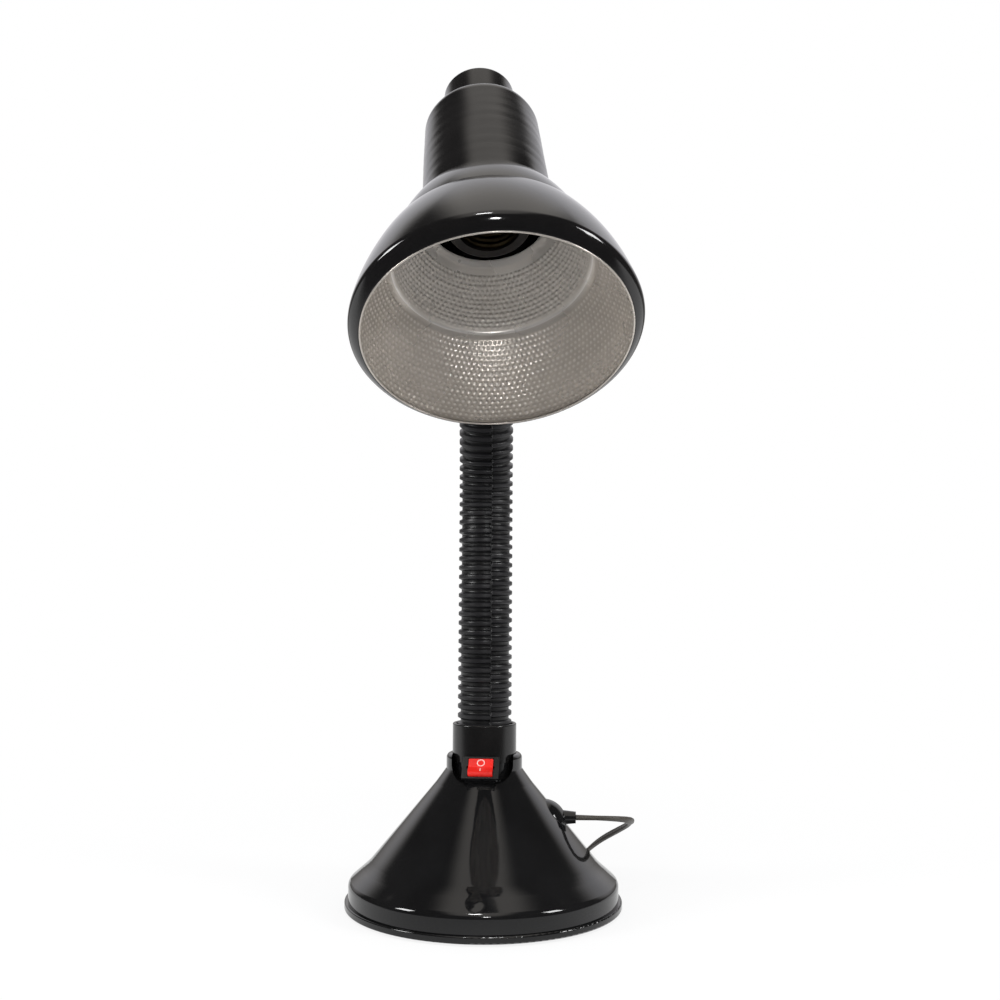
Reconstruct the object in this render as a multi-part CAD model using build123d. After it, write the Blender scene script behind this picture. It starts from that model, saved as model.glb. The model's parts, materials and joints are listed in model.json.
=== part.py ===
from build123d import *
import math
import os

# Gooseneck reading lamp: weighted conical base with a rocker switch, a ribbed flexible neck
# and a bell shade with a hammered reflector. Millimetres, +Z up, front towards -Y.
# The origin is the centre of the base on the table.

# General clearances
fit_gap = 0.05
free_gap = 0.3
overrun = 1.0

# Base
base_r = 70.0
pad_inset = 4.0
pad_t = 1.0
plate_t = 3.5
plate_edge_r = 0.8
plate_rim = 1.8
band_top_z = 13.3
band_round_r = 3.6
cone_foot_inset = 11.4
cone_low_z = 21.5
cone_kink_r = 30.0
cone_top_r = 24.6
cone_top_z = 62.1
boss_r = 19.3
boss_low_z = 69.3
boss_top_z = 77.0
boss_round_r = 2.5
shell_wall = 2.5
boss_wall = 6.0
ballast_inset = 15.0
ballast_bore_r = 12.0
ballast_h = 10.0
ballast_edge_r = 1.5
pad_r = base_r - pad_inset
band_r = base_r - plate_rim
cone_low_r = base_r - cone_foot_inset
ballast_r = base_r - ballast_inset

# Screws that hold the bottom plate
screw_count = 3
screw_inset = 9.0
screw_first_angle = 30.0
screw_post_r = 3.6
screw_shank_r = 1.5
screw_shank_len = 12.0
screw_head_r = 2.8
screw_head_h = 1.5
screw_slot_w = 0.8
screw_slot_depth = 0.7
screw_pitch_r = base_r - screw_inset

# Neck fixing in the base
collar_r = 16.25
collar_h = 15.0
collar_sunk = 3.6
collar_gap = 0.85
collar_foot_inset = 0.6
collar_edge_r = 0.7
nipple_r = 5.0
nipple_bore_r = 3.0
nipple_below = 8.0
nipple_grip = 9.0
washer_r = 9.0
washer_t = 1.0
nut_flat_r = 7.0
nut_h = 4.0

# Switch: a snap-in rocker on a sloping pad in a U-shaped niche in front of the collar
switch_y = -19.1
switch_z = 70.1
switch_slope = 45.0
niche_half_w = 15.5
niche_low_z = 64.4
niche_corner_r = 8.0
switch_pad_w = 15.6
switch_pad_len = 13.4
switch_pad_root = 9.0
switch_pad_h = 2.0
bezel_w = 18.2
bezel_len = 13.0
bezel_t = 1.2
housing_w = 13.9
housing_len = 12.1
housing_depth = 9.0
rocker_w = 12.2
rocker_r = 5.2
rocker_tip_angle = 25.0
rocker_valley_h = 0.9
rocker_sunk = 0.9
rocker_tilt = 12.0
trunnion_r = 1.2
trunnion_len = 0.5
terminal_w = 4.8
terminal_t = 0.8
terminal_len = 6.0
terminal_spread = 3.0

# Cord gland on the right of the cone
gland_r = 12.0
gland_sunk = 11.19
gland_z = 42.0
nozzle_z = 45.0
nozzle_root_r = 4.6
nozzle_tip_r = 2.9
nozzle_reach = 16.5
stem_r = 3.9
stem_sunk = 6.5
gland_nut_r = 6.4
gland_nut_t = 3.2
gland_nut_sunk = 5.5
cone_slope = (cone_low_r - cone_top_r) / (cone_top_z - cone_low_z)
gland_x = cone_top_r + (cone_top_z - gland_z) * cone_slope - gland_sunk
nozzle_end_x = gland_x + nozzle_reach
stem_in_x = gland_x - stem_sunk
gland_nut_x = gland_x - gland_nut_sunk

# Flexible neck: a ribbed sleeve over a core of ball-jointed links
neck_turn = 4.4
rib_pitch = 4.7
rib_crest_r = 13.75
rib_valley_r = 12.3
rib_crest_half_share = 0.20
rib_foot_half_share = 0.35
sleeve_bore_r = 10.8
link_count = 9
link_ribs = 6
last_link_ribs = 9
neck_straight_len = 119.0
low_bend_r = 105.0
low_bend_angle = 22.7
high_bend_r = 70.0
neck_lean = 58.2
neck_end_len = 8.0
joint_gap = 2.2
core_r = 10.0
core_wall = 2.0
core_bore_r = 4.0
ball_r = 8.0
ball_stem_r = 5.6
socket_lip = 3.0
socket_back = 9.5
shoulder_gap = 6.4

# Head: bell shade, stations measured along its axis from the mouth
head_twist = 3.6
head_joint_station = 92.0
ferrule_r = 16.2
ferrule_grip = 10.0
ferrule_wall = 3.0
ferrule_edge_r = 1.0
mouth_r = 56.5
lip_r = 58.8
lip_z = 1.9
bulge_r = 60.9
bulge_z = 5.0
dome_mid_r = 53.4
dome_mid_z = 30.0
dome_end_r = 46.9
dome_end_z = 43.1
ledge_r = 44.2
ledge_z = 44.6
shoulder_mid_r = 38.7
shoulder_mid_z = 60.0
shoulder_end_r = 31.9
shoulder_end_z = 71.7
stack_foot_r = 29.2
stack_foot_z = 73.7
stack_top_r = 26.7
stack_top_z = 128.0
crown_mid_r = 24.4
crown_mid_z = 134.3
crown_r = 17.5
head_top_z = 137.0
shade_wall = 0.9
liner_gap = 0.35
liner_wall = 0.7
liner_low_z = 0.6
liner_high_z = 74.0

# End cap and lampholder
cap_r = 16.7
cap_waist_r = 15.4
cap_waist_h = 3.0
cap_h = 21.5
cap_edge_r = 1.6
cap_thread_len = 14.0
holder_r = 19.0
holder_low_z = 66.0
holder_floor_z = 96.0
holder_high_z = 112.0
holder_edge_r = 1.5
thread_r = 13.2
thread_wall = 1.2
thread_low_z = 67.0
contact_r = 4.0
contact_h = 2.0
holder_nipple_grip = 6.0
clamp_screw_r = 2.4
clamp_screw_h = 3.0
clamp_screw_x = 12.0
head_nipple_inset = 5.5
head_nut_h = 3.6

# Cord and plug: route points of the free lead, then the coil behind the base
cord_d = 4.2
arc_share = 0.45
lead_points = [
    (nozzle_end_x, 0.0, nozzle_z),
    (66.0, 0.0, nozzle_z),
    (77.0, 16.0, 41.0),
    (71.0, 39.0, 32.5),
    (60.0, 56.0, 23.0),
    (52.0, 72.0, 13.0),
    (48.4, 85.0, 6.0),
    (46.9, 97.0, 3.0),
    (46.9, 107.8, 3.0),
]
coil_x = 10.0
coil_y = 112.0
coil_low_z = 3.0
coil_out_r = 36.9
coil_pitch = 4.7
coil_turns_in = 5.0
coil_turns_out = 5.25
tail_points = [
    (5.8, 150.075, 7.7),
    (-47.0, 150.075, 7.7),
    (-47.0, 120.0, 7.7),
]
tie_w = 6.0
tie_t = 0.6
tie_angle = 215.0
plug_len = 30.0
plug_w = 28.0
plug_h = 13.6
plug_edge_r = 4.0
plug_boot_len = 9.0
plug_boot_r = 3.6
plug_boot_root_r = 5.6
plug_pin_r = 2.0
plug_pin_len = 19.0
plug_pin_spread = 18.6

UP = (Align.CENTER, Align.CENTER, Align.MIN)


def rod(radius, low, high):
    """Round bar about Z between two heights."""
    return Pos(0, 0, low) * Cylinder(radius, high - low, align=UP)


def tube(outer, inner, low, high):
    """Round tube about Z between two heights."""
    return rod(outer, low, high) - rod(inner, low - overrun, high + overrun)


def hexagon(flat_radius, bore, low, high):
    """Hexagon nut about Z with a plain bore."""
    outline = RegularPolygon(flat_radius, 6, major_radius=False)
    return Pos(0, 0, low) * extrude(outline, high - low) - rod(bore, low - overrun, high + overrun)


def spun(*corners):
    """Solid turned about Z from corners of (radius, height, rounding)."""
    points = [(r, z) for r, z, rounding in corners]
    roundings = [rounding for r, z, rounding in corners]
    outline = FilletPolyline(*points, radius=roundings, close=True)
    return revolve(Plane.XZ * make_face(outline), Axis.Z)


def save(node, shape):
    """Write one node, its solids kept apart, as a STEP file."""
    solids = shape.solids()
    export_step(Compound(children=solids) if len(solids) > 1 else solids[0], f"parts/{node}.step")


# Base shell: the same form gives the outside and, inset, the hollow
plate_z = pad_t
plate_top_z = pad_t + plate_t
cone_widening = math.hypot(cone_low_r - cone_top_r, cone_top_z - cone_low_z) / (cone_top_z - cone_low_z)


def base_form(inset, top_inset, low):
    """Turned form of the base, moved in by a wall thickness."""
    slant = inset * cone_widening
    return spun(
        (0, low, 0),
        (band_r - inset, low, 0),
        (band_r - inset, band_top_z - inset / 2, band_round_r - inset / 2),
        (cone_low_r - slant, cone_low_z, cone_kink_r),
        (cone_top_r - slant, cone_top_z, 0),
        (boss_r - inset, boss_low_z, 0),
        (boss_r - inset, boss_top_z - top_inset, boss_round_r - inset / 2),
        (0, boss_top_z - top_inset, 0),
    )


switch_place = Pos(0, switch_y, switch_z) * Rot(switch_slope, 0, 0)


def niche_block(wall, back_r):
    """U-shaped block in front of the neck's foot, grown by a wall thickness, up to a round back."""
    low = niche_low_z - wall
    block = Box(2 * (niche_half_w + wall), base_r, boss_top_z, align=UP)
    low_edges = block.edges().filter_by(Axis.Y).group_by(Axis.Z)[0]
    block = Pos(0, -base_r / 2, low) * fillet(low_edges, niche_corner_r)
    return block - rod(back_r, cone_low_z, boss_top_z)


def screw_places():
    """Places of the plate screws round the axis."""
    step = 360 / screw_count
    return [Rot(0, 0, screw_first_angle + step * i) * Pos(screw_pitch_r, 0, 0) for i in range(screw_count)]


outside = base_form(0, 0, plate_top_z)
hollow = base_form(shell_wall, boss_wall, plate_top_z - overrun)
screw_tip_z = plate_z + screw_head_h + screw_shank_len
collar_bore_r = rib_crest_r + collar_gap
collar_foot_z = boss_top_z - collar_sunk
collar_seat_r = collar_r - collar_foot_inset
hollow -= niche_block(shell_wall, collar_seat_r - shell_wall)
shell = outside - niche_block(0, collar_seat_r) - hollow
switch_pad = Box(switch_pad_w, switch_pad_len, switch_pad_root + switch_pad_h, align=UP)
switch_pad = switch_place * Pos(0, 0, -switch_pad_root) * switch_pad
shell += switch_pad - hollow
shell -= tube(collar_r + fit_gap, collar_bore_r - free_gap, collar_foot_z, boss_top_z + collar_sunk)
for place in screw_places():
    shell += (place * rod(screw_post_r, plate_top_z, cone_low_z)) & outside
    shell -= place * rod(screw_shank_r + fit_gap, plate_top_z - overrun, screw_tip_z + overrun)
shell -= rod(nipple_r + fit_gap, cone_top_z, boss_top_z + overrun)
housing_hole = Box(housing_w + 2 * fit_gap, housing_len + 2 * fit_gap, housing_depth * 2)
shell -= switch_place * housing_hole
terminal_room_len = 2 * (terminal_spread + free_gap) + terminal_t
terminal_room_h = 2 * (housing_depth + terminal_len + free_gap)
terminal_room = Box(terminal_w + 2 * free_gap, terminal_room_len, terminal_room_h)
shell -= switch_place * terminal_room
stem_axis = Pos(0, 0, nozzle_z) * Rot(0, 90, 0)
shell -= stem_axis * rod(stem_r + fit_gap, stem_in_x, base_r)
save("base_shell", shell)

plate = spun(
    (0, plate_z, 0),
    (base_r, plate_z, plate_edge_r),
    (base_r, plate_top_z, plate_edge_r),
    (0, plate_top_z, 0),
)
screws = []
for place in screw_places():
    plate -= place * rod(screw_head_r + free_gap, plate_z - overrun, plate_z + screw_head_h)
    plate -= place * rod(screw_shank_r + free_gap, plate_z, plate_top_z + overrun)
    head = rod(screw_head_r, plate_z, plate_z + screw_head_h)
    slot = Pos(0, 0, plate_z) * Box(2 * base_r, screw_slot_w, 2 * screw_slot_depth)
    screws.append(place * (head - slot + rod(screw_shank_r, plate_z + screw_head_h, screw_tip_z)))
save("bottom_plate", plate)
save("plate_screws", Compound(children=[screw.solid() for screw in screws]))
save("felt_pad", rod(pad_r, 0, pad_t))
ballast = spun(
    (ballast_bore_r, plate_top_z, 0),
    (ballast_r, plate_top_z, 0),
    (ballast_r, plate_top_z + ballast_h, ballast_edge_r),
    (ballast_bore_r, plate_top_z + ballast_h, ballast_edge_r),
)
save("ballast_weight", ballast)

# Collar, nipple, washer and nut that hold the neck's foot
collar = spun(
    (collar_bore_r, collar_foot_z, 0),
    (collar_r, collar_foot_z, 0),
    (collar_r, boss_top_z + collar_h, collar_edge_r),
    (collar_bore_r, boss_top_z + collar_h, collar_edge_r),
)
switch_room = Box(bezel_w + 2 * free_gap, bezel_len + 2 * free_gap, 2 * housing_depth)
save("neck_collar", collar - switch_place * switch_room)
boss_under_z = boss_top_z - boss_wall
save("neck_nipple", tube(nipple_r, nipple_bore_r, boss_under_z - nipple_below, boss_top_z + nipple_grip))
save("neck_washer", tube(washer_r, nipple_r + fit_gap, boss_under_z - washer_t, boss_under_z))
nut_top_z = boss_under_z - washer_t
save("neck_lock_nut", hexagon(nut_flat_r, nipple_r + fit_gap, nut_top_z - nut_h, nut_top_z))

# Switch body with its bezel, well for the rocker and two terminals
bezel_top = switch_pad_h + bezel_t
pivot_h = bezel_top - rocker_sunk
well_w = rocker_w + 2 * free_gap
well_r = rocker_r + free_gap
pivot_place = switch_place * Pos(0, 0, pivot_h)
across = Rot(0, 90, 0)
bezel = Pos(0, 0, switch_pad_h) * Box(bezel_w, bezel_len, bezel_t, align=UP)
housing = Pos(0, 0, -housing_depth) * Box(housing_w, housing_len, housing_depth + switch_pad_h, align=UP)
well = Pos(0, 0, pivot_h) * (across * Cylinder(well_r, well_w))
well += Pos(0, 0, pivot_h) * Box(well_w, 2 * well_r, bezel_top, align=UP)
trunnion_span = rocker_w + 2 * free_gap + 2 * trunnion_len
seats = Pos(0, 0, pivot_h) * (across * Cylinder(trunnion_r + fit_gap, trunnion_span + 2 * fit_gap))
save("switch_body", switch_place * (bezel + housing - well - seats))

blade = Pos(0, 0, -housing_depth - terminal_len) * Box(terminal_w, terminal_t, terminal_len, align=UP)
blades = [switch_place * Pos(0, side * terminal_spread, 0) * blade for side in (-1, 1)]
save("switch_terminals", Compound(children=[item.solid() for item in blades]))

# Rocker: a round-backed key with a shallow V face, at rest with its upper end pressed
tip_y = rocker_r * math.cos(math.radians(rocker_tip_angle))
tip_z = rocker_r * math.sin(math.radians(rocker_tip_angle))
key_outline = ThreePointArc((-tip_y, tip_z), (0, -rocker_r), (tip_y, tip_z))
key_outline += Line((tip_y, tip_z), (0, rocker_valley_h))
key_outline += Line((0, rocker_valley_h), (-tip_y, tip_z))
key_face = Plane.YZ * make_face(key_outline)
key = extrude(key_face, rocker_w / 2, both=True)
key += across * Cylinder(trunnion_r, trunnion_span)
save("switch_rocker", pivot_place * Rot(-rocker_tilt, 0, 0) * key)

# Gland: a domed moulding on the cone with a short tapered nozzle and a stem through the wall
dome = Pos(gland_x, 0, gland_z) * Sphere(gland_r)
nozzle_len = nozzle_end_x - gland_x
nozzle = stem_axis * Pos(0, 0, gland_x) * Cone(nozzle_root_r, nozzle_tip_r, nozzle_len, align=UP)
gland = (dome + nozzle) - outside
stem = stem_axis * rod(stem_r, stem_in_x, gland_x + gland_r - shell_wall)
gland += stem - (dome - outside)
save("cord_gland", gland)
save("gland_nut", stem_axis * tube(gland_nut_r, stem_r + fit_gap, gland_nut_x, gland_nut_x + gland_nut_t))

# Neck centre line: straight, bent forward, straight, bent forward again, short straight
neck_foot_z = boss_top_z
link_len = rib_pitch * link_ribs
neck_len = link_len * (link_count - 1) + rib_pitch * last_link_ribs
low_bend_len = low_bend_r * math.radians(low_bend_angle)
high_bend_angle = neck_lean - low_bend_angle
high_bend_len = high_bend_r * math.radians(high_bend_angle)
neck_middle_len = neck_len - neck_straight_len - low_bend_len - high_bend_len - neck_end_len
neck_runs = [
    (neck_straight_len, 0),
    (low_bend_len, low_bend_angle),
    (neck_middle_len, 0),
    (high_bend_len, high_bend_angle),
    (neck_end_len, 0),
]


def neck_place(distance):
    """Place on the neck's centre line, its Z along the neck and its X level."""
    forward = 0
    height = neck_foot_z
    lean = 0
    left = distance
    for length, turn in neck_runs:
        step = min(left, length)
        bend = math.radians(turn) * step / length
        if bend:
            radius = step / bend
            forward += radius * (math.cos(lean) - math.cos(lean + bend))
            height += radius * (math.sin(lean + bend) - math.sin(lean))
        else:
            forward += step * math.sin(lean)
            height += step * math.cos(lean)
        lean += bend
        left -= step
    return Rot(0, 0, neck_turn) * Pos(0, -forward, height) * Rot(math.degrees(lean), 0, 0)


def lofted(sections):
    """Ruled body through circles given as (place, radius)."""
    return loft([place * Circle(radius) for place, radius in sections], ruled=True)


def sleeve(low, high, first_rib, rib_count):
    """Ribbed sleeve between two distances, with its bore."""
    crest = rib_crest_half_share * rib_pitch
    foot = rib_foot_half_share * rib_pitch
    sections = [(low, rib_valley_r)]
    for i in range(rib_count):
        middle = first_rib + i * rib_pitch
        sections.append((middle - foot, rib_valley_r))
        sections.append((middle - crest, rib_crest_r))
        sections.append((middle + crest, rib_crest_r))
        sections.append((middle + foot, rib_valley_r))
    sections.append((high, rib_valley_r))
    outer = [(neck_place(distance), radius) for distance, radius in sections]
    return lofted(outer) - lofted([(place, sleeve_bore_r) for place, radius in outer])


def socket():
    """Cup about a joint's centre that holds the ball of the link below."""
    cup = rod(core_r, -socket_lip, socket_back) - Sphere(ball_r + fit_gap)
    return cup - rod(core_bore_r, 0, socket_back + overrun)


def ball():
    """Ball on its stem, about a joint's centre, at the top of a link."""
    wall_low = -shoulder_gap - core_wall
    solid = rod(core_r, wall_low, -shoulder_gap) + rod(ball_stem_r, wall_low, 0) + Sphere(ball_r)
    return solid - rod(core_bore_r, wall_low - overrun, ball_r + overrun)


def core_tube(low_place, low, high_place, high):
    """Hollow middle of a core link between two end places at given distances."""
    step = (high - low) / link_ribs
    places = [low_place] + [neck_place(low + step * i) for i in range(1, link_ribs)] + [high_place]
    inner_r = core_r - core_wall
    return lofted([(place, core_r) for place in places]) - lofted([(place, inner_r) for place in places])


joint_distances = [link_len * (i + 1) for i in range(link_count - 1)]
foot_len = nipple_grip + core_wall
for i in range(link_count):
    first = i == 0
    last = i == link_count - 1
    start = 0 if first else joint_distances[i - 1]
    end = neck_len if last else joint_distances[i]
    ribs = (last_link_ribs if last else link_ribs) - 1
    sleeve_low = free_gap if first else start + joint_gap
    sleeve_high = end - free_gap if last else end - joint_gap
    save(f"neck_sleeve_{i + 1}", sleeve(sleeve_low, sleeve_high, start + rib_pitch, ribs))
    low_end = foot_len if first else socket_back
    high_end = foot_len if last else shoulder_gap + core_wall
    low_place = neck_place(start) * Pos(0, 0, low_end)
    high_place = neck_place(end) * Pos(0, 0, -high_end)
    core = core_tube(low_place, start + low_end, high_place, end - high_end)
    plain_end = tube(core_r, nipple_r + fit_gap, 0, foot_len)
    core += neck_place(start) * (plain_end if first else socket())
    core += neck_place(end) * (Pos(0, 0, -foot_len) * plain_end if last else ball())
    save(f"neck_core_{i + 1}", core)

# Head frame: Z from the mouth to the cap, the neck arriving square to it from +Y
stack_slope = (stack_foot_r - stack_top_r) / (stack_top_z - stack_foot_z)
joint_r = stack_foot_r - (head_joint_station - stack_foot_z) * stack_slope
axis_reach = ferrule_wall + joint_r
neck_end = neck_place(neck_len) * Rot(0, 0, head_twist)
head = neck_end * Pos(0, 0, axis_reach) * Rot(-90, 0, 0) * Pos(0, 0, -head_joint_station)


def shade_form(inset):
    """Turned form of the shade about the head's axis, moved in by an inset."""
    mouth = (mouth_r - inset, 0)
    bulge = (bulge_r - inset, bulge_z)
    dome_end = (dome_end_r - inset, dome_end_z - inset)
    ledge = (ledge_r - inset, ledge_z - inset)
    shoulder_end = (shoulder_end_r - inset, shoulder_end_z)
    stack_foot = (stack_foot_r - inset, stack_foot_z)
    stack_top = (stack_top_r - inset, stack_top_z)
    crown = (crown_r, head_top_z - inset)
    outline = ThreePointArc(mouth, (lip_r - inset, lip_z), bulge)
    outline += ThreePointArc(bulge, (dome_mid_r - inset, dome_mid_z), dome_end)
    outline += Line(dome_end, ledge)
    outline += ThreePointArc(ledge, (shoulder_mid_r - inset, shoulder_mid_z), shoulder_end)
    outline += Polyline(shoulder_end, stack_foot, stack_top)
    outline += ThreePointArc(stack_top, (crown_mid_r - inset, crown_mid_z - inset / 2), crown)
    outline += Polyline(crown, (0, head_top_z - inset), (0, 0), mouth)
    return revolve(Plane.XZ * make_face(outline), Axis.Z)


shade_outside = shade_form(0)
neck_axis = Pos(0, 0, head_joint_station) * Rot(-90, 0, 0)
shade = shade_outside - shade_form(shade_wall)
shade -= rod(nipple_r + fit_gap, stack_top_z, head_top_z + overrun)
shade -= neck_axis * rod(nipple_r + fit_gap, holder_r, stack_foot_r + overrun)
save("shade", head * shade)
liner_inset = shade_wall + liner_gap
liner = shade_form(liner_inset) - shade_form(liner_inset + liner_wall)
save("reflector", head * (liner & rod(bulge_r, liner_low_z, liner_high_z)))

ferrule_bore_r = rib_crest_r + free_gap
ferrule = spun(
    (0, -ferrule_grip, 0),
    (ferrule_r, -ferrule_grip, ferrule_edge_r),
    (ferrule_r, axis_reach, 0),
    (0, axis_reach, 0),
)
ferrule -= rod(ferrule_bore_r, -ferrule_grip - overrun, 0)
ferrule -= rod(nipple_r + fit_gap, -overrun, axis_reach + overrun)
save("head_ferrule", head * (neck_axis * Pos(0, 0, axis_reach) * Rot(180, 0, 0) * ferrule - shade_outside))
shade_in_r = joint_r - shade_wall
nipple_tip = axis_reach - shade_in_r + head_nipple_inset
save("head_nipple", neck_end * tube(nipple_r, nipple_bore_r, -nipple_grip, nipple_tip))
nut_sag = shade_in_r - math.sqrt(shade_in_r**2 - (nut_flat_r / math.cos(math.pi / 6)) ** 2)
nut_low = axis_reach - shade_in_r + nut_sag
save("head_lock_nut", neck_end * hexagon(nut_flat_r, nipple_r + fit_gap, nut_low, nut_low + head_nut_h))

# Lampholder hung from the crown by its own nipple, with the end cap screwed on outside
holder = spun(
    (0, holder_low_z, 0),
    (holder_r, holder_low_z, holder_edge_r),
    (holder_r, holder_high_z, holder_edge_r),
    (0, holder_high_z, 0),
)
shell_out_r = thread_r + thread_wall
holder -= rod(shell_out_r + fit_gap, holder_low_z - overrun, holder_floor_z)
nipple_low_z = holder_high_z - holder_nipple_grip
holder -= rod(nipple_r + fit_gap, nipple_low_z, holder_high_z + overrun)
save("lampholder_body", head * holder)
save("screw_shell", head * tube(shell_out_r, thread_r, thread_low_z, holder_floor_z - contact_h))
save("centre_contact", head * rod(contact_r, holder_floor_z - contact_h, holder_floor_z))
clamp_screw = rod(clamp_screw_r, holder_high_z, holder_high_z + clamp_screw_h)
clamp_slot = Pos(0, 0, holder_high_z + clamp_screw_h) * Box(2 * holder_r, screw_slot_w, 2 * screw_slot_depth)
clamps = [head * Pos(side * clamp_screw_x, 0, 0) * (clamp_screw - clamp_slot) for side in (-1, 1)]
save("holder_terminals", Compound(children=[item.solid() for item in clamps]))
cap_thread_top_z = head_top_z + cap_thread_len
save("holder_nipple", head * tube(nipple_r, nipple_bore_r, nipple_low_z, cap_thread_top_z))
crown_under_z = head_top_z - shade_wall
save("holder_lock_nut", head * hexagon(nut_flat_r, nipple_r + fit_gap, crown_under_z - nut_h, crown_under_z))
cap = spun(
    (0, head_top_z, 0),
    (cap_waist_r, head_top_z, 0),
    (cap_waist_r, head_top_z + cap_waist_h, 0),
    (cap_r, head_top_z + cap_waist_h, 0),
    (cap_r, head_top_z + cap_h, cap_edge_r),
    (0, head_top_z + cap_h, 0),
)
cap -= rod(nipple_r + fit_gap, head_top_z - overrun, cap_thread_top_z)
save("end_cap", head * cap)


# Cord: a lead from the gland, a coil on the table behind the base, a tail and its plug
def cord_tube(name, points):
    """Tube on straight runs joined by arcs as large as the runs allow; prints its radii."""
    spots = [Vector(*point) for point in points]
    radii = []
    for before, here, after in zip(spots, spots[1:], spots[2:]):
        half_turn = math.radians((here - before).get_angle(after - here)) / 2
        shorter = min((here - before).length, (after - here).length)
        radii.append(arc_share * shorter / math.tan(half_turn))
    path = FilletPolyline(*spots, radius=radii)
    section = Plane(origin=path @ 0, z_dir=path % 0) * Circle(cord_d / 2)
    body = sweep(section, path=path)
    filled = body.volume / (path.length * section.area)
    print(name, "radii", [round(radius, 1) for radius in radii])
    print(name, "length", round(path.length, 1), "filled", round(filled, 4))
    save(name, body)
    return path.length


def coil_spot(quarter):
    """Point and direction on the coil after a number of quarter turns."""
    turn_back = 4 * coil_turns_in
    inward = min(quarter, turn_back) - max(0, quarter - turn_back)
    radius = coil_out_r - coil_pitch * inward / 4
    climb = min(max((quarter - turn_back + 1) / 2, 0), 1)
    rise = coil_pitch * climb * climb * (3 - 2 * climb)
    slope = coil_pitch * 6 * climb * (1 - climb) / math.pi
    if quarter == turn_back:
        drift = 0
    else:
        drift = math.copysign(coil_pitch, quarter - turn_back) / (2 * math.pi)
    angle = quarter * math.pi / 2
    out = Vector(math.cos(angle), math.sin(angle), 0)
    along = Vector(-math.sin(angle), math.cos(angle), 0)
    spot = Vector(coil_x, coil_y, coil_low_z + rise) + out * radius
    return spot, (along * radius + out * drift + Vector(0, 0, slope)).normalized()


def biarc(start, start_dir, end, end_dir):
    """Two arcs that leave and arrive along the given directions."""
    chord = end - start
    both = start_dir + end_dir
    spare = 4 - both.dot(both)
    lean = chord.dot(both)
    reach = (math.sqrt(lean * lean + spare * chord.dot(chord)) - lean) / spare
    first = start + start_dir * reach
    second = end - end_dir * reach
    middle = (first + second) * 0.5
    opening = Edge.make_tangent_arc(start, start_dir, middle)
    return [opening, Edge.make_tangent_arc(middle, second - first, end)]


def least_gap(path):
    """Least clear distance between turns, on points along the path."""
    count = round(path.length / cord_d * 2)
    spots = [path @ (i / count) for i in range(count + 1)]
    skip = round(math.pi * (coil_out_r - coil_pitch * coil_turns_in) / cord_d * 2)
    gaps = [(a - b).length for i, a in enumerate(spots) for b in spots[i + skip:]]
    return min(gaps) - cord_d


quarters = range(round(4 * (coil_turns_in + coil_turns_out)))
coil_start, coil_start_dir = coil_spot(0)
coil_end, coil_end_dir = coil_spot(len(quarters))
coil_start_dir = Vector(0, 1, 0)
coil_end_dir = Vector(-1, 0, 0)
edges = [Edge.make_line(coil_start - coil_start_dir * cord_d, coil_start)]
for quarter in quarters:
    here, here_dir = coil_spot(quarter)
    there, there_dir = coil_spot(quarter + 1)
    here_dir = coil_start_dir if quarter == 0 else here_dir
    there_dir = coil_end_dir if quarter + 1 == len(quarters) else there_dir
    edges += biarc(here, here_dir, there, there_dir)
edges.append(Edge.make_line(coil_end, coil_end + coil_end_dir * cord_d))
coil_path = Wire(edges)
coil_section = Plane(origin=coil_path @ 0, z_dir=coil_path % 0) * Circle(cord_d / 2)
coil = sweep(coil_section, path=coil_path)
print("coil length", round(coil_path.length, 1), "least gap", round(least_gap(coil_path), 2))
print("coil filled", round(coil.volume / (coil_path.length * coil_section.area), 4))
save("cord_coil", coil)
cord_len = cord_tube("cord_lead", lead_points) + coil_path.length + cord_tube("cord_tail", tail_points)
print("cord length", round(cord_len, 1))
print("coil ends", coil_path @ 0, coil_path @ 1)

coil_in_r = coil_out_r - coil_pitch * coil_turns_in
tie_room_w = coil_out_r - coil_in_r + coil_pitch / 2 + cord_d + 2 * free_gap
tie_room_h = coil_pitch + cord_d + 2 * free_gap
tie_place = Pos(coil_x, coil_y, coil_low_z + coil_pitch / 2) * Rot(0, 0, tie_angle)
tie_place *= Pos((coil_out_r + coil_in_r) / 2, 0, 0)
tie = Box(tie_room_w + 2 * tie_t, tie_w, tie_room_h + 2 * tie_t) - Box(tie_room_w, 2 * tie_w, tie_room_h)
save("coil_tie", tie_place * tie)

plug_place = Pos(*tail_points[-1]) * Rot(0, 0, 90) * Rot(0, -90, 0)
plug = Pos(0, 0, plug_boot_len) * Box(plug_h, plug_w, plug_len, align=UP)
plug = fillet(plug.edges().filter_by(Axis.Z), plug_edge_r)
plug += Cone(plug_boot_r, plug_boot_root_r, plug_boot_len, align=UP)
save("plug_body", plug_place * plug)
pin_low = plug_boot_len + plug_len
pins = [
    plug_place * Pos(0, side * plug_pin_spread / 2, 0) * rod(plug_pin_r, pin_low, pin_low + plug_pin_len)
    for side in (-1, 1)
]
save("plug_pins", Compound(children=[pin.solid() for pin in pins]))
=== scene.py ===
import json
import math
from collections import namedtuple
import bpy
import numpy as np
from mathutils import Matrix


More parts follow.
